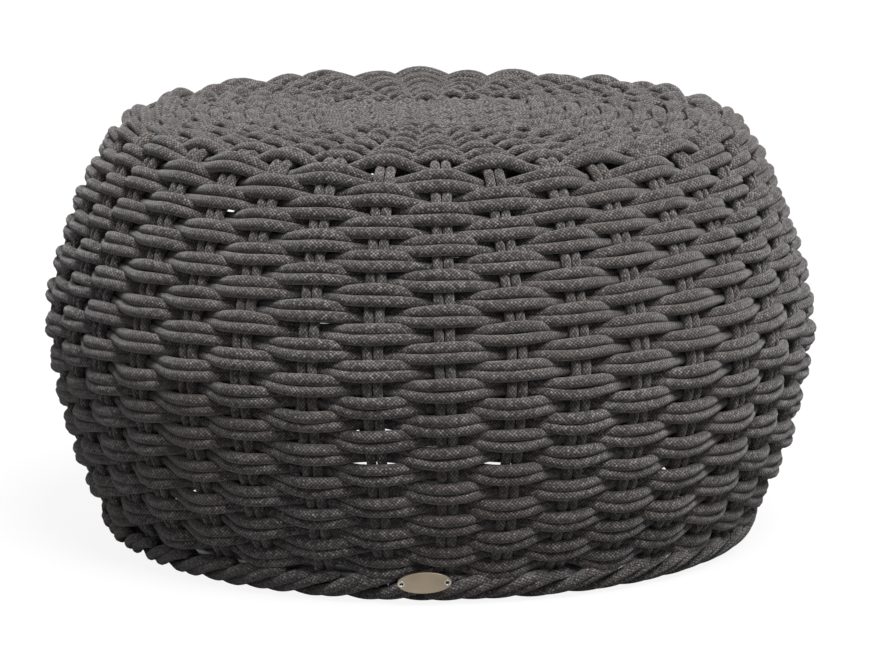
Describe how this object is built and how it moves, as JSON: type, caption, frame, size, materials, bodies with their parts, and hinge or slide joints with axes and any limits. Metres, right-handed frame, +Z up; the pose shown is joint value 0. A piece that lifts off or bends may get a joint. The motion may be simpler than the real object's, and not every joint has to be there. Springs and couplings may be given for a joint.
{
  "type": "outdoor ottoman footstool",
  "caption": "Low round outdoor footstool with a bulging side and flat top, woven from charcoal rope pairs over an aluminium frame, with small glides and a bare oval plate.",
  "frame": {"origin": "on the floor under the middle of the footstool", "axes": "+Z up; the plate faces -Y; +X to the right seen from the front"},
  "size_m": [0.5996, 0.5997, 0.3342],
  "materials": {
    "stake_rope": "braided melange outdoor rope, matt",
    "weaver_rope": "braided melange outdoor rope, matt",
    "border_rope": "braided melange outdoor rope, matt",
    "frame_metal": "light grey satin",
    "glide_plastic": "black, fine texture",
    "plate_metal": "antique, brushed",
    "eyelet_metal": "bright rolled rim"
  },
  "bodies": {
    "root": {"top_ring": "frame_metal", "side_hoop": "frame_metal", "base_ring": "frame_metal", "seat_beam": "frame_metal", "seat_arm_left": "frame_metal", "seat_arm_right": "frame_metal", "rib_1": "frame_metal", "rib_2": "frame_metal", "rib_3": "frame_metal", "rib_4": "frame_metal", "rib_5": "frame_metal", "rib_6": "frame_metal", "rib_7": "frame_metal", "rib_8": "frame_metal", "glide_1": "glide_plastic", "glide_2": "glide_plastic", "glide_3": "glide_plastic", "glide_4": "glide_plastic", "glide_5": "glide_plastic", "glide_6": "glide_plastic", "glide_7": "glide_plastic", "glide_8": "glide_plastic", "stake_across_1": "stake_rope", "stake_along_1": "stake_rope", "stake_across_2": "stake_rope", "stake_along_2": "stake_rope", "stake_across_3": "stake_rope", "stake_along_3": "stake_rope", "stake_across_4": "stake_rope", "stake_along_4": "stake_rope", "stake_across_5": "stake_rope", "stake_along_5": "stake_rope", "stake_across_6": "stake_rope", "stake_along_6": "stake_rope", "stake_across_7": "stake_rope", "stake_along_7": "stake_rope", "stake_across_8": "stake_rope", "stake_along_8": "stake_rope", "stake_across_9": "stake_rope", "stake_along_9": "stake_rope", "seat_weaver_a": "weaver_rope", "seat_weaver_b": "weaver_rope", "upper_weaver_a": "weaver_rope", "upper_weaver_b": "weaver_rope", "belly_weaver_a": "weaver_rope", "belly_weaver_b": "weaver_rope", "lower_weaver_a": "weaver_rope", "lower_weaver_b": "weaver_rope", "base_border": "border_rope", "badge_plate": "plate_metal", "eyelet_left": "eyelet_metal", "eyelet_right": "eyelet_metal"}
  },
  "joints": []
}
